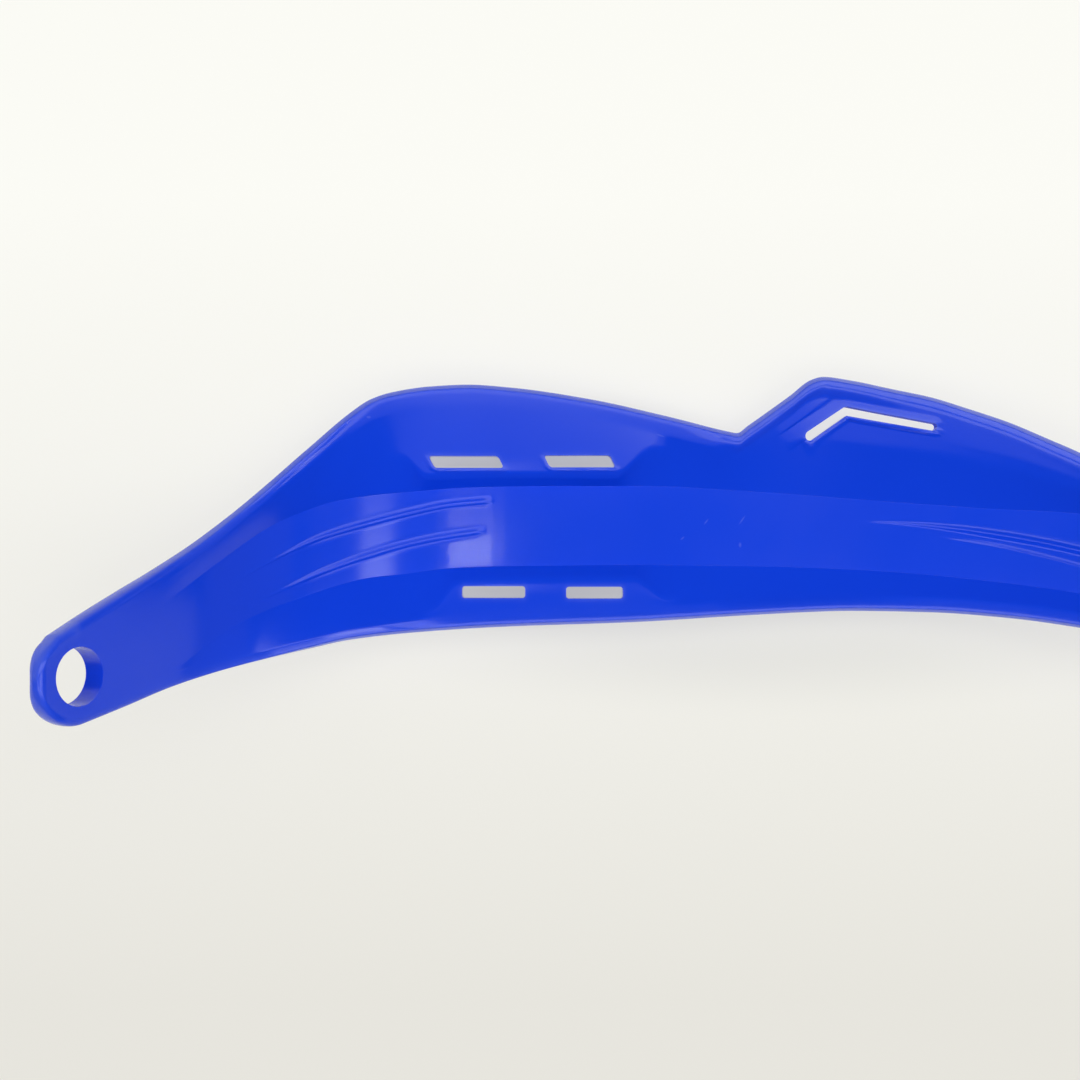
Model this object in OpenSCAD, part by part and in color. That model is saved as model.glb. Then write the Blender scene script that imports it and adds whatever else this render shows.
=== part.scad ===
// Wrap-around hand guard shell, left-hand side, one injection moulding in polypropylene.
// Millimetres. The origin is the bar-end bore on the rider's face, +X runs inboard along
// the span, +Y points forward away from the rider, +Z is up.

/* [Bar-end tab] */
// bar-end bore radius
bore_r = 8.75; // [7:0.25:10]
// plastic thickness round the bar-end bore
tab_t = 7.5; // [6:0.5:10]
// outer radius of the tab's round end
tab_r = 14.2; // [13:0.1:16]
// edge radius round the far side of the handlebar-end tab
far_edge = 5; // [2:0.5:5]
// angle between the tab and the main span, degrees
tab_angle = 58; // [50:1:64]

/* [Shell] */
// wall thickness of the shell
wall_t = 3.5; // [3:0.25:4.5]
// how far the rim lip stands above the wing
lip_h = 1.4; // [0.8:0.2:2.2]
// extra swell of the upper wing between its crease and the rim, inboard
wing_bow = 0.9; // [0:0.1:1.5]
// rise of the wings toward the rider, per mm of height
tilt = 0.36; // [0.25:0.01:0.45]
// height of the two ribs on the trough's outer end
rib_h = 0.95; // [0.5:0.05:1.2]
// depth of the plateau that carries the upper vent slots
pad_up = 5; // [3.5:0.25:6]
// depth of the plateau that carries the lower vent slots
pad_low = 3.8; // [2.5:0.1:4.5]
// angle the inner end curves back toward the rider, degrees
inner_angle = 27; // [15:1:32]

/* [Vents] */
// height of the four straight vent slots
vent_h = 4; // [3:0.25:4.5]
// width of the chevron vent's steep arm
chev_w1 = 3.3; // [2.5:0.1:4]
// width of the chevron vent's long arm
chev_w2 = 2.4; // [2:0.1:3]

/* [Inner end] */
// radius of the bolt hole in the inner tab
bolt_r = 4.25; // [3.25:0.25:5.25]
// outer radius of the inner tab
end_r = 14; // [12:0.5:15]
// plastic thickness round the inner bolt hole
end_t = 3.5; // [3:0.25:4.5]

/* [Node] */
// which sub-part is drawn

/* [Hidden] */
cut_fn = 48;
blue = [0.1, 0.27, 0.9];

// places along the span, measured on the rider's face from the bore
flat_s = 20;
bend_s = 155;
inner_s0 = 255;
inner_s1 = 384;
disc_s = -0.4;
disc_z = -0.6;
end_s = 396;
end_z = 19;
disc_top = disc_s - 7;
disc_low = disc_s + 2.5;
end_top = end_s + 9;

// the outline and the character lines, as [place along the span, height]
top_line = [[-8, 12], [4.5, 18], [20, 25], [31, 30], [45, 37.5], [59, 47.2], [72.5, 58.2],
    [86, 70.2], [100.5, 82.5], [108, 87.2], [116, 89.7], [130, 91.8], [144, 92.5],
    [158, 91.6], [185, 87.8], [212, 82], [232, 77.2], [235.5, 76.6], [239, 79],
    [252.5, 88.7], [259.5, 94], [263.5, 95], [273, 93.8], [287, 91], [301, 88.1],
    [314.5, 84], [328, 79.4], [341.5, 73.5], [352, 68.6], [365, 61], [378, 52],
    [390, 42], [405, 29.7]];
low_line = [[2, -14.5], [20, -10.5], [36, -6.5], [52, -3.2], [73.5, 0.8], [88, 3.6],
    [102, 6.2], [130, 8.8], [158, 10.4], [199, 11.8], [240, 14.2], [260, 15.2],
    [274, 15.6], [302, 15.2], [328, 13.5], [352, 10.5], [372, 7], [396, 5]];
upper_crease = [[20, 14], [50, 30], [80, 47], [100, 53.6], [120, 56.2], [147, 58.2],
    [175, 58.6], [203, 58.6], [241, 56.7], [285, 53.4], [318, 50.9], [352, 48.7],
    [375, 43], [396, 28]];
lower_crease = [[20, -4], [39, -1.2], [52, 7.5], [67, 14.4], [85, 20.5], [109, 27],
    [122, 28.4], [137, 30.3], [156, 31], [203, 31.4], [241, 31], [270, 30.1],
    [299, 28.3], [327, 25.4], [352, 21.9], [375, 16], [396, 10]];
rib_one = [[20, 8], [47.5, 20], [61, 26.5], [74.5, 33.2], [92.5, 41.2], [108, 45.8],
    [123.5, 49.8], [137, 52.6], [151, 54]];
rib_two = [[20, 2], [50, 12.5], [63, 17.3], [79, 23.8], [92.5, 29.4], [110, 35.4],
    [123.5, 39.2], [137, 41.9], [150, 43.8]];
valley = [[281, 46.5], [299, 45.3], [312, 43.8], [325, 41.8], [338, 39.4], [352, 36.2],
    [375, 30], [396, 22]];
ridge = [[281, 44.3], [299, 42.4], [312, 40.6], [325, 38.4], [338, 35.4], [352, 31.6],
    [375, 25], [396, 16]];

// where the pad edges lie between crease (0) and rim (1)
upper_share = [[60, 0.5], [112, 0.5], [121, 0.42], [129.5, 0.155], [135, 0.14],
    [193, 0.14], [208, 0.72], [216, 0.72], [235, 0.6], [396, 0.6]];
lower_share = [[60, 0.5], [120, 0.6], [130, 0.82], [131, 0.82], [140, 0.3], [150, 0.3],
    [200, 0.3], [212, 0.82], [220, 0.6], [396, 0.5]];

function ease(t) = let (c = min(max(t, 0), 1)) c * c * (3 - 2 * c);
function step_up(s, a, b) = ease((s - a) / (b - a));
function mix(a, b, t) = a + (b - a) * t;

// smooth line through points with no overshoot between them
function grade(p, i) = (p[i + 1][1] - p[i][1]) / (p[i + 1][0] - p[i][0]);
function knot_grade(p, i) = i == 0 ? grade(p, 0)
    : i == len(p) - 1 ? grade(p, i - 1)
    : let (a = grade(p, i - 1), b = grade(p, i)) a * b <= 0 ? 0 : 2 * a * b / (a + b);
function seek(p, x, i = 0) = i >= len(p) - 2 || x < p[i + 1][0] ? i : seek(p, x, i + 1);
function line_at(p, s) = let (
    x = min(max(s, p[0][0]), p[len(p) - 1][0]),
    i = seek(p, x),
    h = p[i + 1][0] - p[i][0],
    u = (x - p[i][0]) / h,
    a = p[i][1],
    b = p[i + 1][1]
) (2 * pow(u, 3) - 3 * pow(u, 2) + 1) * a + (pow(u, 3) - 2 * pow(u, 2) + u) * h * knot_grade(p, i)
    + (3 * pow(u, 2) - 2 * pow(u, 3)) * b + (pow(u, 3) - pow(u, 2)) * h * knot_grade(p, i + 1);

// plan of the span: turn angle, and the running position along it
function turn(s) = tab_angle * (1 - step_up(s, flat_s, bend_s))
    - inner_angle * step_up(s, inner_s0, inner_s1);
plan_step = 1;
plan_s0 = -20;
plan_n = 440;
plan = [for (i = 0, x = plan_s0 * cos(tab_angle), y = plan_s0 * sin(tab_angle);
    i <= plan_n;
    x = x + plan_step * cos(turn(plan_s0 + (i + 0.5) * plan_step)),
    y = y + plan_step * sin(turn(plan_s0 + (i + 0.5) * plan_step)),
    i = i + 1) [x, y]];
function plan_at(s) = let (
    t = (s - plan_s0) / plan_step,
    i = min(max(floor(t), 0), plan_n - 1)
) mix(plan[i], plan[i + 1], t - i);

function round_half(s, c, r) = sqrt(max(r * r - (s - c) * (s - c), 0));
function top_at(s) = s < disc_top ? disc_z + round_half(s, disc_s, tab_r)
    : s > end_top ? end_z + round_half(s, end_s, end_r)
    : line_at(top_line, s);
function low_at(s) = s < disc_low ? disc_z - round_half(s, disc_s, tab_r)
    : s > end_s ? end_z - round_half(s, end_s, end_r)
    : line_at(low_line, s);

// how much the round ends of the two tabs are thinned toward their outer edge
function thin_by(q, rho) = q > 0 ? rho - sqrt(max(rho * rho - q * q, 0)) : 0;
function thin_at(s) = thin_by(disc_s - s - (tab_r - 2), 2) + thin_by(s - end_s - (end_r - 1.5), 1.5);
function thin_far(s) = thin_by(disc_s - s - (tab_r - far_edge), far_edge)
    + thin_by(s - end_s - (end_r - 1.5), 1.5);

// one cross-section as a closed loop of [height, depth toward the rider]
function section(s) = let (
    zt = top_at(s),
    zb = low_at(s),
    full = step_up(s, 30, 110) * (1 - step_up(s, 366, 392)),
    rise = step_up(s, 45, 105),
    w = mix(tab_t, wall_t, step_up(s, 13, 70)) + (end_t - wall_t) * step_up(s, 366, 392),
    cu = line_at(upper_crease, s),
    cl = line_at(lower_crease, s),
    ru = full * (tilt * (zt - cu) + 1.8),
    rl = full * (tilt * (cl - zb) + 0.8),
    inboard = 1 - step_up(s, 366, 392),
    peak = step_up(s, 226, 238) * (1 - step_up(s, 268, 300)),
    lip = lip_h * (0.4 + 0.6 * peak) * rise * inboard,
    lip_l = 0.5 * lip,
    cap_u = 0.4 * w * full,
    cap_l = 0.3 * w * full,
    rho = mix(2, 1.2, step_up(s, 13, 60)),
    t = thin_at(s),
    t2 = t + thin_far(s),
    edge = rho * (1 - t2 / w),
    tz = zt - cap_u,
    crest = tz - rho - 1.6,
    gz = crest - 2.2 * rise - 0.3,
    gr = ru - lip - 0.6 * rise * full,
    // upper pad
    fr = line_at(upper_share, s),
    zp = cu + fr * (gz - cu),
    zpl = cu + 0.14 * (gz - cu),
    slope_u = gr * (zp - cu) / (gz - cu),
    flat_u = pad_up + (gr - pad_up) * (zp - zpl) / (gz - zpl),
    bow = wing_bow * step_up(s, 248, 280) * inboard,
    rp = mix(slope_u, flat_u, step_up(s, 112, 129) * (1 - step_up(s, 207, 214))) + bow,
    // lower pad
    sz = zb + cap_l,
    crl = sz + rho + 1.2,
    gzl = crl + 1.6 * rise + 0.3,
    grl = rl - lip_l - 0.5 * rise * full,
    fl = line_at(lower_share, s),
    zq = cl - fl * (cl - gzl),
    zql = cl - 0.3 * (cl - gzl),
    slope_l = grl * (cl - zq) / (cl - gzl),
    flat_l = pad_low + (grl - pad_low) * (zql - zq) / (zql - gzl),
    rq = mix(slope_l, flat_l, step_up(s, 126, 130) * (1 - step_up(s, 212, 218))),
    // ribs outboard, valley and ridge inboard, on the same eight lines
    right = step_up(s, 170, 270),
    a_one = rib_h * step_up(s, 52, 90) * (1 - step_up(s, 148.5, 152.5)),
    a_two = rib_h * step_up(s, 60, 95) * (1 - step_up(s, 146, 150)),
    rr = step_up(s, 276, 318) * (1 - step_up(s, 370, 392)),
    z1 = line_at(rib_one, s),
    z2 = line_at(rib_two, s),
    zv = line_at(valley, s),
    zr = line_at(ridge, s),
    rib_z = [mix(z1 + 1.25, zv + 2.6, right), mix(z1 + 0.55, zv + 1.4, right),
        mix(z1 - 0.45, zv - 0.2, right), mix(z1 - 1.15, zv - 1.2, right),
        mix(z2 + 1.25, zr + 0.7, right), mix(z2 + 0.55, zr - 0.2, right),
        mix(z2 - 0.45, zr - 1.1, right), mix(z2 - 1.15, zr - 1.6, right)],
    rib_r = [0, a_one - 0.4 * rr, a_one - 0.8 * rr, -0.5 * rr,
        0.55 * rr, a_two + 0.6 * rr, a_two, 0],
    // rider's face, top to bottom
    fz = concat([tz, tz - 0.3 * rho, tz - rho, crest, gz, 0.5 * (gz + zp), zp + 0.9, zp - 0.7,
        cu + 0.5, cu - 0.6], rib_z, [cl + 0.6, cl - 0.5, zq + 0.7, zq - 0.9,
        0.5 * (zq + gzl), gzl, crl, sz + rho, sz + 0.3 * rho, sz]),
    fr_all = concat([ru - edge, ru - 0.3 * edge, ru, ru, gr, 0.5 * (gr + rp) + 0.16 * bow,
        rp + 0.9 * (gr - rp) / (gz - zp), rp - 0.7 * rp / (zp - cu),
        0.5 * rp / (zp - cu), 0], rib_r, [0, 0.5 * rq / (cl - zq), rq - 0.7 * rq / (cl - zq),
        rq + 0.9 * (grl - rq) / (zq - gzl), 0.5 * (rq + grl), grl, rl, rl,
        rl - 0.3 * edge, rl - edge]),
    // the same lines spread evenly, for the flat tabs
    even = max(1 - step_up(s, 16, 56), step_up(s, 370, 392)),
    rz = min(rho, 0.45 * (zt - zb)),
    n = len(fz),
    z_in = [for (k = [0 : n - 1]) k == 0 ? zt : k == 1 ? zt - 0.3 * rz
        : k == n - 1 ? zb : k == n - 2 ? zb + 0.3 * rz
        : mix(zt - rz, zb + rz, (k - 2) / (n - 5))],
    z = [for (k = [0 : n - 1]) mix(fz[k], z_in[k], even)],
    r = [for (k = [0 : n - 1]) fr_all[k] - t],
    // outer face, from the top down: the lines it keeps, and its share of the wall there
    keep = [[4, 1.05], [5, 1.05], [7, 1.15], [9, 1.1], [10, 1], [11, 1], [12, 1], [13, 1],
        [14, 1], [15, 1], [16, 1], [17, 1], [18, 1.1], [20, 1.15], [22, 1.05], [23, 1.05]],
    outer = concat(
        [[z[0] + cap_u, r[0] - w + 2 * edge + t2],
        [z[1] + cap_u, r[1] - w + 0.6 * edge + t2],
        [z[2] + cap_u, r[2] - w + t2]],
        [for (k = keep) [z[k[0]], r[k[0]] - w * mix(1, k[1], full) + t2]],
        [[z[n - 3] - cap_l, r[n - 3] - w + t2],
        [z[n - 2] - cap_l, r[n - 2] - w + 0.6 * edge + t2],
        [z[n - 1] - cap_l, r[n - 1] - w + 2 * edge + t2]]),
    m = len(outer)
) concat([for (k = [0 : n - 1]) [z[k], r[k]]], [for (k = [0 : m - 1]) outer[m - 1 - k]]);

// places of the cross-sections, closer where a line turns
stations = concat(
    [for (a = [9, 20, 33, 48, 66, 85]) disc_s - tab_r * cos(a)],
    [3, 8, 13, 17, 21, 25],
    [for (s = [29 : 4 : 117]) s],
    [121, 123.5, 126, 128, 129.5, 131, 134, 137, 140, 142.5, 145, 147.5, 149, 150.5, 152.5],
    [156, 162, 170, 178, 186, 193, 196, 199, 202, 205, 208, 210, 212, 214, 218, 224, 229],
    [232, 234, 235.5, 237, 239, 244, 252, 256, 259.5, 261.5, 263.5, 266, 270],
    [for (s = [274 : 4 : 366]) s],
    [370, 374, 378, 382, 386, 390, 394, 398, 401],
    [for (a = [60, 48, 37, 26, 16, 9]) end_s + end_r * cos(a)]);

function place(s, p) = let (o = plan_at(s), a = turn(s))
    [o[0] + p[1] * sin(a), o[1] - p[1] * cos(a), p[0]];

// the whole moulding before its holes, lofted through every cross-section
module shell_body() {
    loops = [for (s = stations) [for (p = section(s)) place(s, p)]];
    m = len(loops[0]);
    n = len(loops);
    points = [for (l = loops) each l];
    sides = [for (j = [0 : n - 2]) for (i = [0 : m - 1])
        let (a = j * m + i, b = j * m + (i + 1) % m, c = a + m, d = b + m)
        each (i + j) % 2 == 0 ? [[a, c, b], [b, c, d]] : [[a, d, b], [a, c, d]]];
    first = [for (i = [1 : m - 2]) [0, i, i + 1]];
    last = [for (i = [1 : m - 2]) [(n - 1) * m, (n - 1) * m + i + 1, (n - 1) * m + i]];
    polyhedron(points = points, faces = concat(sides, first, last));
}

// a cutter drawn on the rider's side and pushed straight through, as the mould's pins are
module pin(depth) {
    translate([0, plan_at(205)[1] + 12, 0])
        rotate([90, 0, 0])
            linear_extrude(height = depth)
                children();
}

// straight vent with leaning ends and bevelled corners
module vent_shape(x0, x1, z, lean) {
    h = vent_h / 2;
    b = 0.9;
    polygon([[x0 - lean / 2 + b, z + h], [x1 - lean / 2 - b, z + h], [x1 - lean / 2, z + h - b],
        [x1 + lean / 2, z - h + b], [x1 + lean / 2 - b, z - h], [x0 + lean / 2 + b, z - h],
        [x0 + lean / 2, z - h + b], [x0 - lean / 2, z + h - b]]);
}

// one arm of the chevron vent, a bar with round ends
module arm(x0, z0, x1, z1, w0) {
    span = norm([x1 - x0, z1 - z0]);
    translate([x0, z0])
        rotate(atan2(z1 - z0, x1 - x0)) {
            translate([0, -w0 / 2])
                square([span, w0]);
            circle(r = w0 / 2, $fn = cut_fn);
            translate([span, 0])
                circle(r = w0 / 2, $fn = cut_fn);
        }
}

module vents() {
    pin(48)
        vent_shape(97.7, 121.3, 66.6, 2);
    pin(48)
        vent_shape(137, 159.5, 66.8, 2);
    pin(48)
        vent_shape(108, 129.6, 22.2, 0);
    pin(48)
        vent_shape(143.6, 163, 22, 0);
    pin(48) {
        arm(226.3, 75.4, 237.6, 83.4, chev_w1);
        arm(237.6, 83.4, 266.4, 77.9, chev_w2);
    }
}

module bar_end_bore() {
    rotate([0, 0, tab_angle])
        rotate([-90, 0, 0])
            cylinder(r = bore_r, h = 40, center = true, $fn = cut_fn);
}

module inner_bolt_hole() {
    o = plan_at(end_s);
    translate([o[0], o[1], end_z])
        rotate([0, 0, turn(end_s)])
            rotate([-90, 0, 0])
                cylinder(r = bolt_r, h = 30, center = true, $fn = cut_fn);
}

module guard_shell() {
    color(blue)
        difference() {
            shell_body();
            bar_end_bore();
            inner_bolt_hole();
            vents();
        }
}

guard_shell();
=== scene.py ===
import math
import bmesh
import bpy
import numpy as np
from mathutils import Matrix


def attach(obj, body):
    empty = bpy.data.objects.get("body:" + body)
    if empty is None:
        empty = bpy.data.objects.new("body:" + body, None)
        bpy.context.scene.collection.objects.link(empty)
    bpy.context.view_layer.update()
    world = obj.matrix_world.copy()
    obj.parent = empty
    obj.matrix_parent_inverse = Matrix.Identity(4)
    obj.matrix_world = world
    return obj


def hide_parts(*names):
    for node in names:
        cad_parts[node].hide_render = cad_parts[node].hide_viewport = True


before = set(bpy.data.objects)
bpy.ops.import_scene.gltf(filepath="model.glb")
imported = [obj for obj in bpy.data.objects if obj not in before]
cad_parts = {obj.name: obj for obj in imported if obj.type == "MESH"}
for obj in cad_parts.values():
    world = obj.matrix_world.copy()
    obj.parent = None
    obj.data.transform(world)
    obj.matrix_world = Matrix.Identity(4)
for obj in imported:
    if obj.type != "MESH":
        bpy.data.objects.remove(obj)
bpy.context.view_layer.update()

mm = 0.001

# Lines of the shell as (place along the span, height) in mm, the same ones as in part.scad.
shell = {
    "tabAngle": 58.0, "innerAngle": 27.0, "flatS": 20.0, "bendS": 155.0, "innerS0": 255.0, "innerS1": 384.0,
    "discS": -0.4, "discZ": -0.6, "tabR": 14.14, "endS": 396.0, "endZ": 19.0, "endR": 14.0,
    "tabT": 7.5, "wallT": 3.5, "farEdge": 5.0, "wingBow": 0.9, "lipH": 1.4, "tilt": 0.36, "ribH": 0.95,
    "waveHigh": 0.4, "bowHigh": 0.4, "padUp": 5.0, "padLow": 3.8,
    "topLine": [(-8, 12), (4.5, 18), (20, 25), (31, 30), (45, 37.5), (59, 47.2), (72.5, 58.2), (86, 70.2),
                (100.5, 82.5), (108, 87.2), (116, 89.7), (130, 91.8), (144, 92.5), (158, 91.6),
                (185, 87.8), (212, 82), (232, 77.2), (235.5, 76.6), (239, 79), (252.5, 88.7), (259.5, 94),
                (263.5, 95), (273, 93.8), (287, 91), (301, 88.1), (314.5, 84), (328, 79.4), (341.5, 73.5),
                (352, 68.6), (365, 61), (378, 52), (390, 42), (405, 29.7)],
    "lowLine": [(2, -14.5), (20, -10.5), (36, -6.5), (52, -3.2), (73.5, 0.8), (88, 3.6), (102, 6.2),
                (130, 8.8), (158, 10.4), (199, 11.8), (240, 14.2), (260, 15.2), (274, 15.6), (302, 15.2),
                (328, 13.5), (352, 10.5), (372, 7), (396, 5)],
    "upperCrease": [(20, 14), (50, 30), (80, 47), (100, 53.6), (120, 56.2), (147, 58.2), (175, 58.6),
                    (203, 58.6), (241, 56.7), (285, 53.4), (318, 50.9), (352, 48.7), (375, 43),
                    (396, 28)],
    "lowerCrease": [(20, -4), (39, -1.2), (52, 7.5), (67, 14.4), (85, 20.5), (109, 27), (122, 28.4),
                    (137, 30.3), (156, 31), (203, 31.4), (241, 31), (270, 30.1), (299, 28.3), (327, 25.4),
                    (352, 21.9), (375, 16), (396, 10)],
    "ribOne": [(20, 8), (47.5, 20), (61, 26.5), (74.5, 33.2), (92.5, 41.2), (108, 45.8), (123.5, 49.8),
               (137, 52.6), (151, 54)],
    "ribTwo": [(20, 2), (50, 12.5), (63, 17.3), (79, 23.8), (92.5, 29.4), (110, 35.4), (123.5, 39.2),
               (137, 41.9), (150, 43.8)],
    "valley": [(281, 46.5), (299, 45.3), (312, 43.8), (325, 41.8), (338, 39.4), (352, 36.2), (375, 30),
               (396, 22)],
    "ridge": [(281, 44.3), (299, 42.4), (312, 40.6), (325, 38.4), (338, 35.4), (352, 31.6), (375, 25),
              (396, 16)],
    "upperShare": [(60, 0.5), (112, 0.5), (121, 0.42), (129.5, 0.155), (135, 0.14), (193, 0.14),
                   (208, 0.72), (216, 0.72), (235, 0.6), (396, 0.6)],
    "lowerShare": [(60, 0.5), (120, 0.6), (130, 0.82), (131, 0.82), (140, 0.3), (150, 0.3), (200, 0.3),
                   (212, 0.82), (220, 0.6), (396, 0.5)],
}

# Smooth ramps along the span, each rising from 0 at its first place to 1 at its second, mm.
spans = {
    "trough": (30, 110), "rise": (45, 105), "lowRise": (108, 140), "outEnd": (366, 392),
    "thinner": (13, 70), "softer": (13, 60), "peakIn": (226, 238), "peakOut": (268, 300),
    "swell": (248, 280), "padUpIn": (112, 129), "padUpOut": (207, 214), "padLowIn": (126, 130),
    "padLowOut": (212, 218), "handOver": (170, 270), "ribs": (58, 112), "ribTwoIn": (64, 112),
    "ribOneOut": (148.5, 152.5), "ribTwoOut": (146, 150), "valleyIn": (278, 330), "ridgeIn": (300, 335),
    "innerOut": (370, 392), "plainIn": (90, 112), "plainOut": (216, 234), "rollIn": (226, 242),
    "tabEven": (16, 56), "bowIn": (90, 104), "bowOut": (112, 128),
}

# Vents as outlines in the X-Z plane, mm: four bars with leaning ends, and the chevron's two round-ended arms.
vents = {
    "bars": [(97.7, 121.3, 66.6, 2.0, 4.0), (137.0, 159.5, 66.8, 2.0, 4.0),
             (108.0, 129.6, 22.2, 0.0, 4.0), (143.6, 163.0, 22.0, 0.0, 4.0)],
    "barRound": 1.0, "chevron": [(226.3, 75.4, 1.65), (237.6, 83.4, 1.45), (266.4, 77.9, 1.2)],
    "sillHigh": 0.42, "sillWide": 1.0, "boreR": 8.75, "boltR": 4.25,
}


def ease(t):  # smooth step from 0 to 1, 3t^2 - 2t^3
    t = np.clip(t, 0, 1)
    return t * t * (3 - 2 * t)


def rampOf(s, a, b):
    return ease((s - a) / (b - a))


def lineAt(points, s):  # cubic through the points, with harmonic-mean slopes so that it never overshoots
    p = np.array(points, float)
    x, y = p[:, 0], p[:, 1]
    h = np.diff(x)
    m = np.diff(y) / h
    slope = np.concatenate([[m[0]], np.zeros(len(x) - 2), [m[-1]]])
    same = m[:-1] * m[1:] > 0
    total = np.where(same, m[:-1] + m[1:], 1.0)
    slope[1:-1] = np.where(same, 2 * m[:-1] * m[1:] / total, 0)
    s = np.clip(s, x[0], x[-1])
    i = np.clip(np.searchsorted(x, s, side="right") - 1, 0, len(x) - 2)
    u = (s - x[i]) / h[i]
    return ((2 * u**3 - 3 * u**2 + 1) * y[i] + (u**3 - 2 * u**2 + u) * h[i] * slope[i]
            + (3 * u**2 - 2 * u**3) * y[i + 1] + (u**3 - u**2) * h[i] * slope[i + 1])


def turnAt(s):  # angle of the span in plan, in radians
    k = shell
    return (np.radians(k["tabAngle"]) * (1 - rampOf(s, k["flatS"], k["bendS"]))
            - np.radians(k["innerAngle"]) * rampOf(s, k["innerS0"], k["innerS1"]))


def planAt(s):  # running sum of (cos turn, sin turn) along the span, zero at the bore
    g = np.linspace(-20, 420, 8801)
    step = g[1] - g[0]
    a = turnAt(g[:-1] + step / 2)
    x = np.concatenate([[0], np.cumsum(np.cos(a) * step)])
    y = np.concatenate([[0], np.cumsum(np.sin(a) * step)])
    return np.interp(s, g, x - np.interp(0, g, x)), np.interp(s, g, y - np.interp(0, g, y))


def outlineAt(s):  # top and bottom of the shell: the drawn lines, with half circles round the two tabs
    k = shell
    discHalf = np.sqrt(np.maximum(k["tabR"]**2 - (s - k["discS"])**2, 0))
    endHalf = np.sqrt(np.maximum(k["endR"]**2 - (s - k["endS"])**2, 0))
    top = np.where(s < k["discS"] - 7, k["discZ"] + discHalf, lineAt(k["topLine"], s))
    top = np.where(s > k["endS"] + 9, k["endZ"] + endHalf, top)
    low = np.where(s < k["discS"] + 2.5, k["discZ"] - discHalf, lineAt(k["lowLine"], s))
    low = np.where(s > k["endS"], k["endZ"] - endHalf, low)
    return top, low


def thinBy(q, rho):  # quarter circle of radius rho
    return np.where(q > 0, rho - np.sqrt(np.maximum(rho**2 - q**2, 0)), 0)


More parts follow.
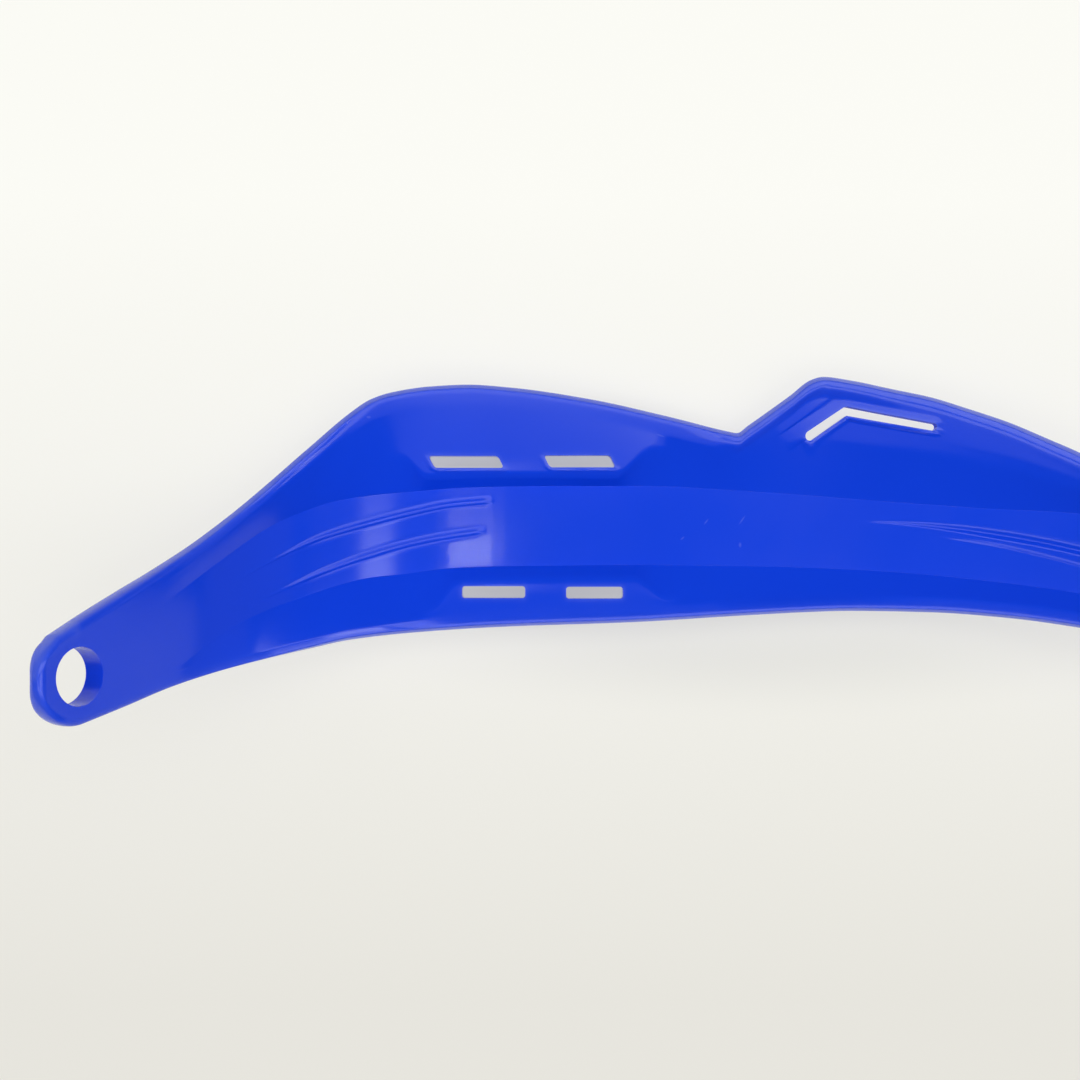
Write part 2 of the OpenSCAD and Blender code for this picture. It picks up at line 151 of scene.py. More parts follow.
def controlLoop(s):
    # Control points of each cross-section, (height, depth toward the rider), the rider's face from the top
    # down and then the outer face from the bottom up. Every row is one line along the whole span.
    k = shell
    up = lambda name: rampOf(s, *spans[name])
    down = lambda name: 1 - up(name)
    zt, zb = outlineAt(s)
    endFade = down("outEnd")
    full = up("trough") * endFade
    rise = up("rise")
    lowRise = up("lowRise")
    w = k["tabT"] + (k["wallT"] - k["tabT"]) * up("thinner")
    cu, cl = lineAt(k["upperCrease"], s), lineAt(k["lowerCrease"], s)
    ru = full * (k["tilt"] * (zt - cu) + 1.8)
    rl = full * (k["tilt"] * (cl - zb) + 0.8)
    peak = up("peakIn") * down("peakOut")
    lip = k["lipH"] * (0.3 + 0.7 * peak) * rise * endFade
    capU, capL = 0.4 * w * full, 0.3 * w * full
    rho = 2 - 0.8 * up("softer")
    thinEnd = thinBy(s - k["endS"] - (k["endR"] - 1.5), 1.5)
    thin = thinBy(k["discS"] - s - (k["tabR"] - 2), 2) + thinEnd
    thinFar = thin + thinBy(k["discS"] - s - (k["tabR"] - k["farEdge"]), k["farEdge"]) + thinEnd
    soft = rho - 0.65 * up("softer")
    edge = soft * (1 - thinFar / w)
    tz = zt - capU
    crest = tz - rho - 1.6
    gz = crest - 2.2 * rise - 0.3
    gr = ru - lip - 0.6 * rise * full
    zp = cu + lineAt(k["upperShare"], s) * (gz - cu)
    zpl = cu + 0.14 * (gz - cu)
    slopeU = gr * (zp - cu) / (gz - cu)
    flatU = k["padUp"] + (gr - k["padUp"]) * (zp - zpl) / (gz - zpl)
    bow = k["wingBow"] * up("swell") * endFade
    rp = slopeU + (flatU - slopeU) * up("padUpIn") * down("padUpOut") + bow
    sz = zb + capL
    crl = sz + rho + 1.2
    gzl = crl + 1.6 * lowRise + 0.3
    grl = rl - (0.5 * lip + 0.5 * full) * lowRise
    zq = cl - lineAt(k["lowerShare"], s) * (cl - gzl)
    zql = cl - 0.3 * (cl - gzl)
    slopeL = grl * (cl - zq) / (cl - gzl)
    flatL = k["padLow"] + (grl - k["padLow"]) * (zql - zq) / (zql - gzl)
    rq = slopeL + (flatL - slopeL) * up("padLowIn") * down("padLowOut")
    right = up("handOver")
    one = k["ribH"] * up("ribs") * down("ribOneOut")
    two = k["ribH"] * up("ribTwoIn") * down("ribTwoOut")
    innerFade = down("innerOut")
    rr = up("valleyIn") * innerFade
    ridgeUp = up("ridgeIn") * innerFade
    z1, z2 = lineAt(k["ribOne"], s), lineAt(k["ribTwo"], s)
    zv, zr = lineAt(k["valley"], s), lineAt(k["ridge"], s)
    zero = 0 * s
    upper, lower = z1 + (zv - z1) * right, z2 + (zr - z2) * right
    grow = up("ribs")
    # Rows over the two ribs on the left and over the valley and ridge on the right. Each entry: the line that
    # the row follows, and how far above it the row lies in mm, on the left and on the right.
    offsets = [
        (upper, 1.3 * grow - 0.1, 0.1 + 1.2 * rr), (upper, 0.3 * grow - 0.1, 0.1),
        (upper, -0.7, -0.3), (upper, -0.7 - 0.9 * grow, -0.3 - 1.2 * rr),
        (lower, 1.3 * grow - 0.1, 0.3), (lower, 0.3 * grow - 0.1, -0.2),
        (lower, -0.7, -0.8), (lower, -0.7 - 0.9 * grow, -1.1),
    ]
    ribZ = [line + a + (b - a) * right for line, a, b in offsets]
    ribR = [zero, 0.3 * one - 0.6 * rr, 0.62 * one - 0.6 * rr, 0.1 * ridgeUp,
            0.15 * ridgeUp, 0.3 * two + 0.24 * ridgeUp, 0.62 * two, zero]
    plain = up("plainIn") * down("plainOut")
    roll = 0.3 * up("rollIn") * endFade
    low = 0.75 * lowRise * endFade
    crestR = ru + (gr + 0.33 * (crest - gz) - ru) * plain
    rimR = ru + (gr + 0.33 * (tz - soft - gz) - ru) * plain - roll
    crestLowR = rl + 0.05 * low
    z = np.array([
        tz, tz - 0.3 * soft, tz - soft, crest, gz, 0.5 * (gz + zp), zp + 0.9, zp - 0.7, cu + 0.02, cu - 0.02,
        *ribZ, cl + 0.02, cl - 0.02, zq + 0.7, zq - 0.9, 0.5 * (zq + gzl), gzl, crl, sz + soft,
        sz + 0.3 * soft, sz])
    r = np.array([
        rimR - edge, rimR - 0.3 * edge, rimR, crestR, gr, 0.5 * (gr + rp) + 0.16 * bow,
        rp + 0.9 * (gr - rp) / (gz - zp), rp - 0.7 * rp / (zp - cu), 0.02 * rp / (zp - cu), zero,
        *ribR, zero, 0.02 * rq / (cl - zq), rq - 0.7 * rq / (cl - zq), rq + 0.9 * (grl - rq) / (zq - gzl),
        0.5 * (rq + grl), grl + 0.1 * low, crestLowR, rl + low, rl + low - 0.3 * edge, rl + low - edge])
    n = len(z)
    even = np.maximum(down("tabEven"), up("innerOut"))
    rz = np.minimum(rho, 0.45 * (zt - zb))
    spread = (np.arange(n) - 2)[:, None] / (n - 5)
    flat = (zt - rz) + (zb + rz - zt + rz) * spread
    flat[0], flat[1], flat[-2], flat[-1] = zt, zt - 0.3 * rz, zb + 0.3 * rz, zb
    z = z + (flat - z) * even
    r = r - thin
    # Rows that the outer face follows, and how thick the wall is there as a share of its own thickness.
    keep = [(4, 1.05), (5, 1.05), (7, 1.15), (9, 1.1), *[(i, 1.0) for i in range(10, 18)], (18, 1.1),
            (20, 1.15), (22, 1.05), (23, 1.05)]
    outer = [(z[0] + capU, r[0] - w + 2 * edge + thinFar), (z[1] + capU, r[1] - w + 0.6 * edge + thinFar),
             (z[2] + capU, r[2] - w + thinFar)]
    outer += [(z[i], r[i] - w * (1 + (f - 1) * full) + thinFar) for i, f in keep]
    outer += [(z[-3] - capL, r[-3] - w + thinFar),
              (z[-2] - capL, r[-2] - w + 0.6 * edge + thinFar),
              (z[-1] - capL, r[-1] - w + 2 * edge + thinFar)]
    outer = np.array(outer)[::-1]
    return np.vstack([z, outer[:, 0]]), np.vstack([r, outer[:, 1]]), n


def tightened(z, r):
    # Adds control points a little way from the corners, so that only the corners are rounded. For each row in
    # beside: the distances in mm from its start and its end where a point goes (0 for none). The numbers of
    # steps that a row's own point and its extra points are drawn with are in own and extra.
    beside = {4: (1.5, 0), 5: (0, 1.5), 7: (1.2, 0.08), 9: (0.08, 1.0), 13: (0.5, 0.5), 17: (0.8, 0.08),
              19: (0.08, 1.2), 21: (1.5, 0), 22: (0, 1.2)}
    extra = {4: (8, 0), 5: (0, 8), 7: (4, 3), 9: (4, 2), 13: (2, 2), 17: (2, 4), 19: (3, 4), 21: (4, 0),
             22: (0, 4)}
    own = [3, 3, 3, 4, 3, 16, 3, 3, 2, 2, *[3] * 8, 2, 2, 3, 3, 8, 4, 2, 3, 3, 2]
    farthest, outerSteps, rimSteps = 0.4, 2, 6
    zs, rs, counts, n = [], [], [], len(own)
    for i in range(len(z)):
        zs.append(z[i])
        rs.append(r[i])
        counts.append(own[i] if i < n else outerSteps)
        if i in beside:
            long = np.hypot(z[i + 1] - z[i], r[i + 1] - r[i]) + 1e-9
            (near, far), (many, few) = beside[i], extra[i]
            for gap, count, back in ((near, many, False), (far, few, True)):
                if gap:
                    f = np.minimum(gap / long, farthest)
                    f = 1 - f if back else f
                    zs.append(z[i] + (z[i + 1] - z[i]) * f)
                    rs.append(r[i] + (r[i + 1] - r[i]) * f)
                    counts.append(count)
    riderRows = n + sum((a > 0) + (b > 0) for a, b in beside.values())
    counts[-5] = counts[-4] = rimSteps
    return np.array(zs), np.array(rs), counts, riderRows


def smoothLoop(z, r, counts):
    # Closed quadratic B-spline through the loop's control points: straight stays straight, corners get a soft
    # radius. Point = (1-t)^2/2 P[i-1] + (1/2 + t - t^2) P[i] + t^2/2 P[i+1].
    m = len(z)
    i = np.repeat(np.arange(m), counts)
    t = np.concatenate([np.arange(c) / c for c in counts])
    a, b, c = 0.5 * (1 - t)**2, 0.5 + t - t * t, 0.5 * t * t
    p, q = (i - 1) % m, (i + 1) % m
    mixed = lambda v: a[:, None] * v[p] + b[:, None] * v[i] + c[:, None] * v[q]
    return mixed(z), mixed(r)


def ventDistance(x, z, kind):  # distance in mm from the nearest vent of a kind, negative inside
    best = np.full(x.shape, 1e3)
    for x0, x1, zc, lean, high in vents["bars"] if kind == "bars" else []:
        px = x - (x0 + x1) / 2 + lean * (z - zc) / high
        rd = vents["barRound"]
        dx, dz = np.abs(px) - ((x1 - x0) / 2 - rd), np.abs(z - zc) - (high / 2 - rd)
        d = np.hypot(np.maximum(dx, 0), np.maximum(dz, 0)) + np.minimum(np.maximum(dx, dz), 0) - rd
        best = np.minimum(best, d)
    c = vents["chevron"]
    for (ax, az, ar), (bx, bz, br) in ((c[0], c[1]), (c[1], c[2])) if kind == "chevron" else ():
        h = np.clip(((x - ax) * (bx - ax) + (z - az) * (bz - az)) / ((bx - ax)**2 + (bz - az)**2), 0, 1)
        d = np.hypot(x - ax - h * (bx - ax), z - az - h * (bz - az)) - (ar + (br - ar) * h)
        best = np.minimum(best, d)
    return best


def ventRelief(x, z):
    # How many mm the face stands proud round the vents. Below an upper bar and below the chevron lies a sill
    # that rises away from the edge and drops again. Above the chevron a brow falls away from its edge.
    v = vents
    chevron, bars = ventDistance(x, z, "chevron"), ventDistance(x, z, "bars")
    under = lambda kind: (ventDistance(x, z - 0.3, kind) - ventDistance(x, z + 0.3, kind)) / 0.6
    step = lambda d: np.interp(d, [0, 0.2, v["sillWide"], v["sillWide"] + 0.8], [0, 0, v["sillHigh"], 0])
    relief = (step(bars) * np.clip(under("bars"), 0, 1) * (z > 45)
              + 1.5 * step(chevron) * np.clip(under("chevron"), 0, 1))
    (ax, az, _), (bx, bz, _), _ = v["chevron"]
    long = math.hypot(bx - ax, bz - az)
    e = ((x - ax) * (az - bz) + (z - az) * (bx - ax)) / long
    t = ((x - ax) * (bx - ax) + (z - az) * (bz - az)) / long
    terrace = np.interp(e, [0, 1.6, 6.0, 6.5, 10.4, 11.6], [0.3, 0.3, -0.25, 0.0, -0.3, 0]) * (e > 0)
    besideArm = ease((t + 9) / 5) * (1 - ease((t - long + 4) / 7))
    brow = np.interp(chevron, [0, 0.2, 2.2], [0.45, 0.45, 0]) * np.clip(-under("chevron"), 0, 1)
    return relief + terrace * besideArm + brow * ease((t - long + 4) / 7)


def bowBy(s, z):  # mm more of swell on the upper wing, a parabola between its crease and the rim
    cu, top = lineAt(shell["upperCrease"], s), outlineAt(s)[0] - 6.7
    u = np.clip((z - cu) / np.maximum(top - cu, 1), 0, 1)
    along = shell["bowHigh"] * rampOf(s, *spans["bowIn"]) * (1 - rampOf(s, *spans["bowOut"]))
    return 4 * u * (1 - u) * along


def waveBy(s, z):  # mm the floor stands proud where the two ribs run out, a shallow moulding wave
    k = shell
    cu, cl = lineAt(k["upperCrease"], s), lineAt(k["lowerCrease"], s)
    along = k["waveHigh"] * np.interp(s, [129, 133, 137, 143, 149.5, 151.5, 156, 166, 180, 193],
                                      [0, 0.03, 0.14, 0.52, 0.96, 1.0, 0.93, 0.55, 0.12, 0])
    return along * ease((z - cl + 10) / 10) * ease((cu + 10 - z) / 10)


def meshFrom(name, points, faces):
    mesh = bpy.data.meshes.new(name)
    mesh.from_pydata(points.tolist(), [], faces)
    mesh.validate()
    obj = bpy.data.objects.new(name, mesh)
    bpy.context.scene.collection.objects.link(obj)
    return obj


def loftFaces(n, m):  # quads between neighbouring stations, and one cap at each end
    j, i = np.meshgrid(np.arange(n - 1), np.arange(m), indexing="ij")
    a, b = j * m + i, j * m + (i + 1) % m
    quads = np.stack([a, b, b + m, a + m], -1).reshape(-1, 4).tolist()
    return quads + [list(range(m))[::-1], list(range((n - 1) * m, n * m))]


def stationsAt():
    k = shell
    a = np.radians(np.linspace(7, 88, 16))
    left = k["discS"] - k["tabR"] * np.cos(a)
    parts = [left, np.arange(1, 56, 1.6), np.arange(56, 124, 1.1), np.arange(124, 214, 0.62),
             np.arange(214, 228, 0.9), np.arange(228, 300, 0.62), np.arange(300, 396, 1.3)]
    right = k["endS"] + k["endR"] * np.cos(np.radians(np.linspace(88, 7, 14)))
    return np.concatenate(parts + [right])


def buildShell():
    s = stationsAt()
    z, r, n = controlLoop(s)
    z, r, counts, n = tightened(z, r)
    z, r = smoothLoop(z, r, counts)
    riderPoints = sum(counts[:n - 1])
    x0, y0 = planAt(s)
    a = turnAt(s)
    x = x0 + r * np.sin(a)
    onRider = (np.arange(len(z)) < riderPoints)[:, None]
    r = r + np.where(onRider, ventRelief(x, z) + waveBy(s, z) + bowBy(s, z), 0)
    points = np.stack([x0 + r * np.sin(a), y0 - r * np.cos(a), z], -1) * mm
    points = points.transpose(1, 0, 2).reshape(-1, 3)
    obj = meshFrom("guard_visual", points, loftFaces(len(s), len(z)))
    print("shell grid", len(s), "by", len(z))
    return obj


def prism(name, outline, y0, y1):  # an outline in X-Z carried from y0 to y1
    n = len(outline)
    near = np.column_stack([outline[:, 0], np.full(n, y0), outline[:, 1]])
    far = np.column_stack([outline[:, 0], np.full(n, y1), outline[:, 1]])
    return meshFrom(name, np.vstack([near, far]) * mm, loftFaces(2, n))


def arcPoints(cx, cz, rd, a0, a1, n):
    a = np.radians(np.linspace(a0, a1, n))
    return np.column_stack([cx + rd * np.cos(a), cz + rd * np.sin(a)])


def barOutline(x0, x1, zc, lean, high):  # rectangle with round corners, sheared by lean over its height
    rd = vents["barRound"]
    h = high / 2 - rd
    p = np.vstack([arcPoints(x1 - rd, zc + h, rd, 0, 90, 7), arcPoints(x0 + rd, zc + h, rd, 90, 180, 7),
                   arcPoints(x0 + rd, zc - h, rd, 180, 270, 7), arcPoints(x1 - rd, zc - h, rd, 270, 360, 7)])
    p[:, 0] -= lean * (p[:, 1] - zc) / high
    return p


def chevronOutline():  # round ends joined by the two arms' sides, mitred at the bend
    (ax, az, ar), (bx, bz, br), (cx, cz, cr) = vents["chevron"]
    t1, t2 = math.degrees(math.atan2(bz - az, bx - ax)), math.degrees(math.atan2(cz - bz, cx - bx))
    mid = math.radians((t1 + t2) / 2 + 90)
    reach = br / math.cos(math.radians((t1 - t2) / 2))
    inner = np.array([[bx - reach * math.cos(mid), bz - reach * math.sin(mid)]])
    outer = arcPoints(bx, bz, br, t1 + 90, t2 + 90, 5)
    return np.vstack([arcPoints(cx, cz, cr, t2 + 90, t2 - 90, 15), inner,
                      arcPoints(ax, az, ar, t1 - 90, t1 - 270, 15), outer])[::-1]


def rod(name, centre, angle, radius, half, n=64):  # a round bar lying in plan along angle + 90 degrees
    a = np.linspace(0, 2 * np.pi, n, endpoint=False)
    side = np.array([math.cos(angle), math.sin(angle), 0])
    along = np.array([-math.sin(angle), math.cos(angle), 0])
    ring = np.cos(a)[:, None] * side * radius + np.sin(a)[:, None] * np.array([0, 0, 1.0]) * radius
    points = np.vstack([centre - along * half + ring, centre + along * half + ring])
    return meshFrom(name, points * mm, loftFaces(2, n))


def cutShell(obj):
    y = planAt(205.0)[1]
    tools = [prism("cutBar", barOutline(*b), y - 40, y + 12) for b in vents["bars"]]
    tools.append(prism("cutChevron", chevronOutline(), y - 40, y + 12))
    tools.append(rod("cutBore", np.zeros(3), math.radians(shell["tabAngle"]), vents["boreR"], 20))
    ex, ey = planAt(shell["endS"])
    tools.append(rod("cutBolt", np.array([ex, ey, shell["endZ"]]), math.radians(-shell["innerAngle"]),
                     vents["boltR"], 15))
    for t in tools:
        bm = bmesh.new()
        bm.from_mesh(t.data)
        bmesh.ops.recalc_face_normals(bm, faces=bm.faces)
        bm.to_mesh(t.data)
        bm.free()
        m = obj.modifiers.new(t.name, "BOOLEAN")
        m.operation, m.solver, m.object = "DIFFERENCE", "EXACT", t
    deps = bpy.context.evaluated_depsgraph_get()
    cut = bpy.data.meshes.new_from_object(obj.evaluated_get(deps))
    obj.modifiers.clear()
    obj.data = cut
    for t in tools:
        bpy.data.objects.remove(t)
    bm = bmesh.new()
    bm.from_mesh(cut)
    bmesh.ops.remove_doubles(bm, verts=bm.verts, dist=0.00001)
    bmesh.ops.recalc_face_normals(bm, faces=bm.faces)
    bm.to_mesh(cut)
    bm.free()
    cut.shade_smooth()
    cut.set_sharp_from_angle(angle=math.radians(38))
    print("shell cut,", len(cut.polygons), "faces")


def addWearAndHighlight(obj):
    # How much an edge is rubbed, together with a painted highlight along the rounded rims and round the
    # vents: 1 on the edge and falling off as exp(-distance / reach). The place along the span comes from
    # stepping each point's projection on the plan curve until it rests.
    k, v = shell, obj.data.vertices
    p = np.empty(len(v) * 3)
    v.foreach_get("co", p)
    x, y, z = p.reshape(-1, 3).T / mm
    s = np.interp(x, planAt(np.arange(0, 400.0))[0], np.arange(0, 400.0))
    for _ in range(8):
        x0, y0 = planAt(s)
        a = turnAt(s)
        s = np.clip(s + 0.8 * ((x - x0) * np.cos(a) + (y - y0) * np.sin(a)), -14.5, 409.5)
    top, low = outlineAt(s)
    fromTop, fromLow = np.maximum(top - z, 0), np.maximum(z - low, 0)
    fromTab = np.where(s < k["discS"], k["tabR"] - np.hypot(s - k["discS"], z - k["discZ"]), 99)
    fromEnd = np.where(s > k["endS"], k["endR"] - np.hypot(s - k["endS"], z - k["endZ"]), 99)
    reachUp = plastic["wearAndHighlightReach"] * (1 + 1.1 * rampOf(s, 226, 246))
    fromTabs = np.minimum(fromTab, fromEnd).clip(0)
    rim = np.exp(-fromTop / reachUp) + np.exp(-np.minimum(fromLow, fromTabs) / plastic["wearAndHighlightReach"])
    rim = rim * (0.3 + 0.7 * rampOf(s, 25, 80))
    nearest = np.abs(np.minimum(ventDistance(x, z, "bars"), ventDistance(x, z, "chevron")))
    vent = np.exp(-nearest / plastic["ventReach"])
    wearAndHighlight = obj.data.attributes.new("edgeWearAndHighlight", "FLOAT", "POINT")
    wearAndHighlight.data.foreach_set("value", np.clip(rim + 0.5 * vent, 0, 1))


# The rubbed colour, with its reach and share, gives real edge wear together with a painted highlight on the
# rounded rims and round the vents.
plastic = {
    "blue": (0.003, 0.053, 0.75, 1), "deep": (0.002, 0.046, 0.70, 1), "rough": 0.15, "roughVary": 0.03,
    "grain": 0.00002, "specular": 0.34, "wearAndHighlightReach": 1.1, "wearAndHighlightShare": 0.68,
    "ventReach": 0.5, "rubbedAndLit": (0.17, 0.24, 0.82, 1), "bump": 0.25,
    "cloud": (14, 3), "uneven": (220, 3), "smear": (60, 4), "fine": (900, 2),
    "scuffsAndGlint": [
        ((0.2044, 0.0784, 0.0469), (0.0024, 0.0025, 0.0004), -0.95, 0.24),
        ((0.2037, 0.0784, 0.0383), (0.0007, 0.0025, 0.0012), 0.0, 0.24),
        ((0.1920, 0.0784, 0.0463), (0.0016, 0.0025, 0.0004), -0.9, 0.24),
        ((0.1838, 0.0784, 0.0406), (0.0012, 0.0025, 0.0004), -0.7, 0.24),
        ((0.1755, 0.0691, 0.0754), (0.0020, 0.0025, 0.0004), 0.3, 0.24),
        # The spot below is a painted highlight; the spots above are scuffs.
        ((0.0775, 0.0613, 0.0810), (0.0010, 0.0025, 0.0006), 0.0, 0.24),
    ],
}


def newMaterial(name):
    mat = bpy.data.materials.new(name)
    mat.use_nodes = True
    nodes = mat.node_tree.nodes
    nodes.clear()
    return mat, nodes, mat.node_tree.links


def feed(links, value, socket):  # a link where the value is another node's output, else a plain setting
    if isinstance(value, bpy.types.NodeSocket):
        links.new(value, socket)
    else:
        socket.default_value = value


def mathOf(nodes, links, operation, first, second):
    node = nodes.new("ShaderNodeMath")
    node.operation = operation
    feed(links, first, node.inputs[0])
    feed(links, second, node.inputs[1])
    return node.outputs[0]


def colourMix(nodes, links, factor, first, second):
    node = nodes.new("ShaderNodeMix")
    node.data_type = "RGBA"
    feed(links, factor, node.inputs["Factor"])
    feed(links, first, node.inputs["A"])
    feed(links, second, node.inputs["B"])
    return node.outputs["Result"]


def noiseOf(nodes, links, coord, scale, detail):
    node = nodes.new("ShaderNodeTexNoise")
    node.inputs["Scale"].default_value = scale
    node.inputs["Detail"].default_value = detail
    links.new(coord.outputs["Object"], node.inputs["Vector"])
    return node.outputs["Fac"]


def rangeOf(nodes, links, value, before, after, kind="LINEAR"):  # one range of values mapped to another
    node = nodes.new("ShaderNodeMapRange")
    node.interpolation_type = kind
    for name, level in zip(("From Min", "From Max", "To Min", "To Max"), (*before, *after)):
        node.inputs[name].default_value = level
    links.new(value, node.inputs["Value"])
    return node.outputs["Result"]


def softSpots(nodes, links, coord, spots):
    # The strongest of some soft ellipsoids, each with its place, half sizes, turn and strength.
    found = None
    for place, size, turn, strength in spots:
        local = nodes.new("ShaderNodeMapping")
        local.vector_type = "TEXTURE"
        local.inputs["Location"].default_value = place
        local.inputs["Rotation"].default_value = (0, turn, 0)
        local.inputs["Scale"].default_value = size
        links.new(coord.outputs["Object"], local.inputs["Vector"])
        reach = nodes.new("ShaderNodeVectorMath")
        reach.operation = "LENGTH"
        links.new(local.outputs["Vector"], reach.inputs[0])
        mask = rangeOf(nodes, links, reach.outputs["Value"], (1.0, 0.2), (0.0, strength), "SMOOTHSTEP")
        found = mask if found is None else mathOf(nodes, links, "MAXIMUM", found, mask)
    return found


def mouldedPlastic():
    k = plastic
    mat, nodes, links = newMaterial("blueMouldedPlastic")
    out = nodes.new("ShaderNodeOutputMaterial")
    skin = nodes.new("ShaderNodeBsdfPrincipled")
    links.new(skin.outputs["BSDF"], out.inputs["Surface"])
    coord = nodes.new("ShaderNodeTexCoord")
    tint = colourMix(nodes, links, noiseOf(nodes, links, coord, *k["cloud"]), k["blue"], k["deep"])
    # Where the base colour turns to the rubbed colour: real edge wear and scuffs, together with a painted
    # highlight on the rims and round the vents and one painted glint.
    wornAndLit = nodes.new("ShaderNodeAttribute")
    wornAndLit.attribute_name = "edgeWearAndHighlight"
    uneven = noiseOf(nodes, links, coord, *k["uneven"])
    patchy = rangeOf(nodes, links, uneven, (0.35, 0.65), (k["wearAndHighlightShare"] - 0.2, k["wearAndHighlightShare"]))
    share = mathOf(nodes, links, "MULTIPLY", wornAndLit.outputs["Fac"], patchy)
    rubbedAndLit = mathOf(nodes, links, "MAXIMUM", share, softSpots(nodes, links, coord, k["scuffsAndGlint"]))
    links.new(colourMix(nodes, links, rubbedAndLit, tint, k["rubbedAndLit"]), skin.inputs["Base Color"])
    smear = noiseOf(nodes, links, coord, *k["smear"])
    rough = rangeOf(nodes, links, smear, (0, 1), (k["rough"] - k["roughVary"], k["rough"] + k["roughVary"]))
    links.new(rough, skin.inputs["Roughness"])
    bump = nodes.new("ShaderNodeBump")
    bump.inputs["Strength"].default_value = k["bump"]
    bump.inputs["Distance"].default_value = k["grain"]
    links.new(noiseOf(nodes, links, coord, *k["fine"]), bump.inputs["Height"])
    links.new(bump.outputs["Normal"], skin.inputs["Normal"])
    skin.inputs["Specular IOR Level"].default_value = k["specular"]
    return mat


guard = buildShell()
cutShell(guard)
addWearAndHighlight(guard)
guard.data.materials.clear()
guard.data.materials.append(mouldedPlastic())
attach(guard, "root")
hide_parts("guard_shell")
print("guard made")

# The picture looks straight down, so the pale board that the shell lies on stands in the X-Z plane behind it.
studio = {
    "board": (0.975, 0.968, 0.945, 1), "boardY": 0.0855, "boardHalf": 3.0, "backdrop": (0.90, 0.895, 0.875),
    "worldLevel": 0.10, "plainShare": 0.8, "shade": (0.52, 0.525, 0.51, 1),
    # Painted shadows in the camera's plain colour: soft ellipsoids behind the upper and lower vents and below
    # the lower edge, each with place, half sizes, turn and strength.
    "paintedShadows": [
        ((0.130, 0.0855, 0.067), (0.085, 0.05, 0.028), 0.0, 0.95),
        ((0.135, 0.0855, 0.022), (0.070, 0.05, 0.018), 0.0, 0.95),
        ((0.215, 0.0855, 0.006), (0.160, 0.05, 0.030), 0.0, 0.32),
    ],
    # boardLow and boardHigh are a painted fall of light, darker towards the bottom.
    "boardLow": (0.765, 0.75, 0.685, 1), "boardHigh": (0.975, 0.975, 0.915, 1), "fadeHeights": (-0.12, 0.16),
    "camera": (0.13466, -0.4391, 0.040), "lens": 50.0,
}


def paleBoard():
    # Camera rays see mostly a plain colour that fades with height, a painted fall of light that is darker
    # towards the bottom, with painted shadows behind the vents and below the shell's lower edge; other rays
    # see the lit board. From behind and for shadow rays it is clear.
    mat, nodes, links = newMaterial("paleBoard")
    out = nodes.new("ShaderNodeOutputMaterial")
    face = nodes.new("ShaderNodeBsdfDiffuse")
    face.inputs["Color"].default_value = studio["board"]
    clear = nodes.new("ShaderNodeBsdfTransparent")
    geo = nodes.new("ShaderNodeNewGeometry")
    path = nodes.new("ShaderNodeLightPath")
    either = mathOf(nodes, links, "MAXIMUM", geo.outputs["Backfacing"], path.outputs["Is Shadow Ray"])
    coord = nodes.new("ShaderNodeTexCoord")
    parts = nodes.new("ShaderNodeSeparateXYZ")
    links.new(coord.outputs["Object"], parts.inputs[0])
    level = rangeOf(nodes, links, parts.outputs["Z"], studio["fadeHeights"], (0, 1))
    fade = colourMix(nodes, links, level, studio["boardLow"], studio["boardHigh"])
    paintedShadow = softSpots(nodes, links, coord, studio["paintedShadows"])
    plain = nodes.new("ShaderNodeEmission")
    links.new(colourMix(nodes, links, paintedShadow, fade, studio["shade"]), plain.inputs["Color"])
    seen = mathOf(nodes, links, "MULTIPLY", path.outputs["Is Camera Ray"], studio["plainShare"])
    front, mix = nodes.new("ShaderNodeMixShader"), nodes.new("ShaderNodeMixShader")
    for node, inputs in ((front, (seen, face.outputs[0], plain.outputs[0])),
                         (mix, (either, front.outputs[0], clear.outputs[0]))):
        for socket, value in zip(node.inputs, inputs):
            links.new(value, socket)
    links.new(mix.outputs[0], out.inputs["Surface"])
    h, y = studio["boardHalf"], studio["boardY"]
    corners = np.array([[-h, y, -h], [h, y, -h], [h, y, h], [-h, y, h]])
    board = meshFrom("table_board", corners, [[0, 1, 2, 3]])
    board.data.materials.append(mat)


def paleWorld():
    world = bpy.data.worlds.new("paleRoom")
    bpy.context.scene.world = world
    world.use_nodes = True
    nodes, links = world.node_tree.nodes, world.node_tree.links
    nodes.clear()
    out = nodes.new("ShaderNodeOutputWorld")
    room = nodes.new("ShaderNodeBackground")
    room.inputs["Color"].default_value = (1, 1, 1, 1)
    room.inputs["Strength"].default_value = studio["worldLevel"]
    seen = nodes.new("ShaderNodeBackground")
    seen.inputs["Color"].default_value = (*studio["backdrop"], 1)
    mix = nodes.new("ShaderNodeMixShader")
    path = nodes.new("ShaderNodeLightPath")
    links.new(path.outputs["Is Camera Ray"], mix.inputs[0])
    links.new(room.outputs[0], mix.inputs[1])
    links.new(seen.outputs[0], mix.inputs[2])
    links.new(mix.outputs[0], out.inputs["Surface"])


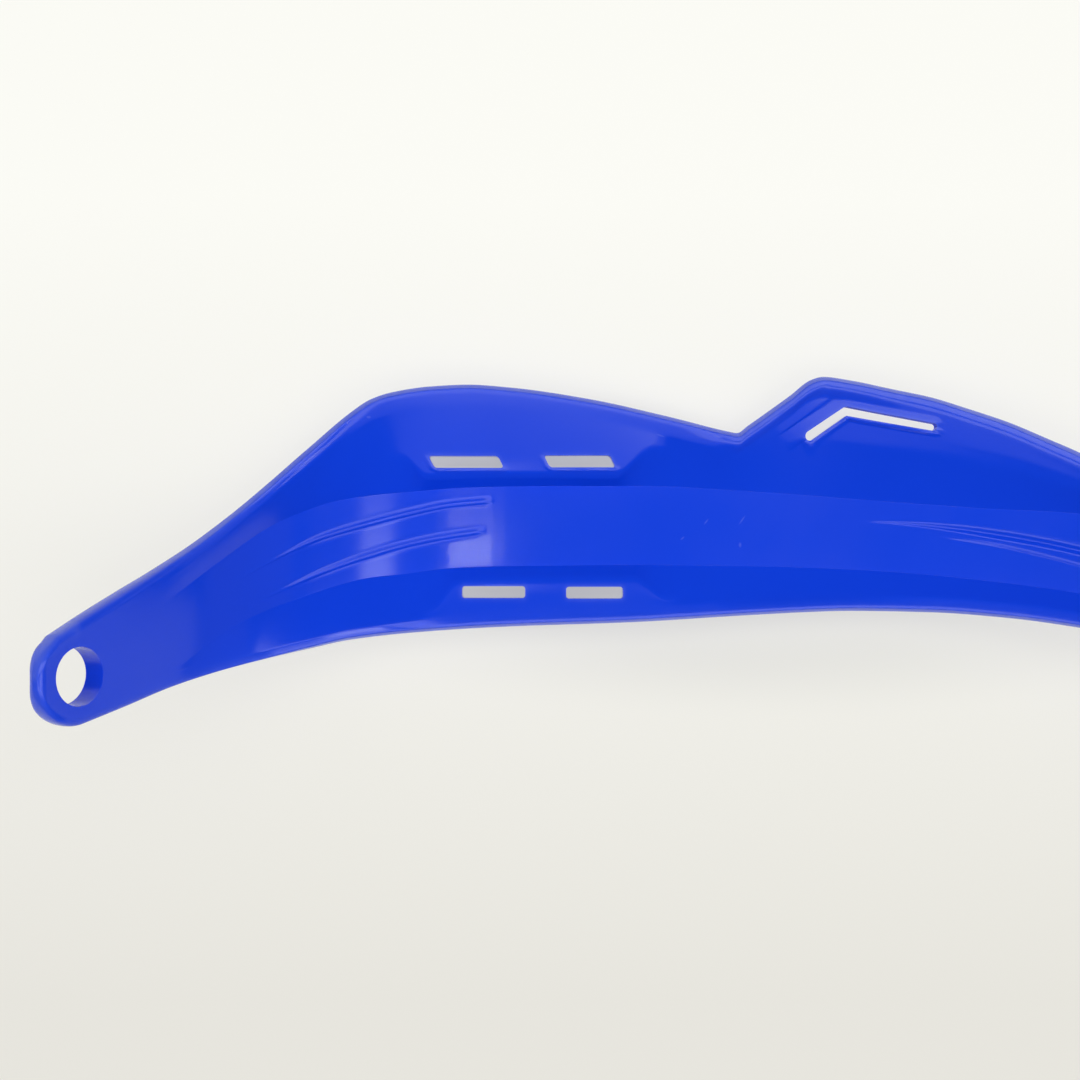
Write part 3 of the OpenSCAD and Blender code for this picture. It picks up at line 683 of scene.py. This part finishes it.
# Each lamp: place, the point it faces, width and height in metres, watts, and its light's spread in degrees.
lamps = {
    "panelHigh": ((0.16, -1.22, 0.500), (0.16, 0.07, 0.06), 2.8, 0.62, 13.4, 180),
    "panelLow": ((0.16, -1.22, -0.373), (0.16, 0.07, 0.06), 2.8, 0.544, 11.7, 180),
    "panelLowDim": ((0.16, -1.22, -0.885), (0.16, 0.07, 0.06), 2.8, 0.36, 1.7, 180),
    "sideRight": ((2.40, -0.72, 0.10), (0.0, 0.0, 0.05), 1.5, 1.6, 2.0, 180),
    "stripRightLow": ((1.305, -3.0, -0.13), (0.085, 0.07, 0.045), 0.62, 0.34, 4.2, 180),
    "stripRightHigh": ((1.305, -3.0, 0.21), (0.085, 0.07, 0.045), 0.62, 0.34, 0.55, 180),
    "cardLeft": ((0.090, -0.45, 0.042), (0.114, 0.078, 0.042), 0.044, 0.045, 0.00036, 26),
    "cardSpot": ((0.083, -0.445, 0.029), (0.108, 0.078, 0.035), 0.016, 0.011, 0.0006, 26),
    "backFill": ((0.10, 0.95, 0.45), (0.18, 0.06, 0.04), 1.2, 0.9, 6.0, 180),
}


def softLamp(name, place, aim, wide, high, power, spread):
    data = bpy.data.lights.new(name, "AREA")
    data.shape = "RECTANGLE"
    data.size, data.size_y, data.energy = wide, high, power
    data.spread = math.radians(spread)
    lamp = bpy.data.objects.new(name, data)
    lamp.location = place
    away = np.array(place) - np.array(aim)
    lamp.rotation_mode = "XYZ"
    tip, turn = math.atan2(math.hypot(away[0], away[1]), away[2]), math.atan2(away[0], -away[1])
    lamp.rotation_euler = (tip, 0, turn)
    bpy.context.scene.collection.objects.link(lamp)


paleBoard()
paleWorld()
for name, settings in lamps.items():
    softLamp(name, *settings)

camData = bpy.data.cameras.new("view")
camData.lens = studio["lens"]
camData.sensor_width = 36.0
cam = bpy.data.objects.new("view", camData)
cam.location = studio["camera"]
cam.rotation_euler = (math.pi / 2, 0, 0)
bpy.context.scene.collection.objects.link(cam)
bpy.context.scene.camera = cam
bpy.context.scene.view_settings.view_transform = "Standard"
print("stage made")

bpy.context.view_layer.update()
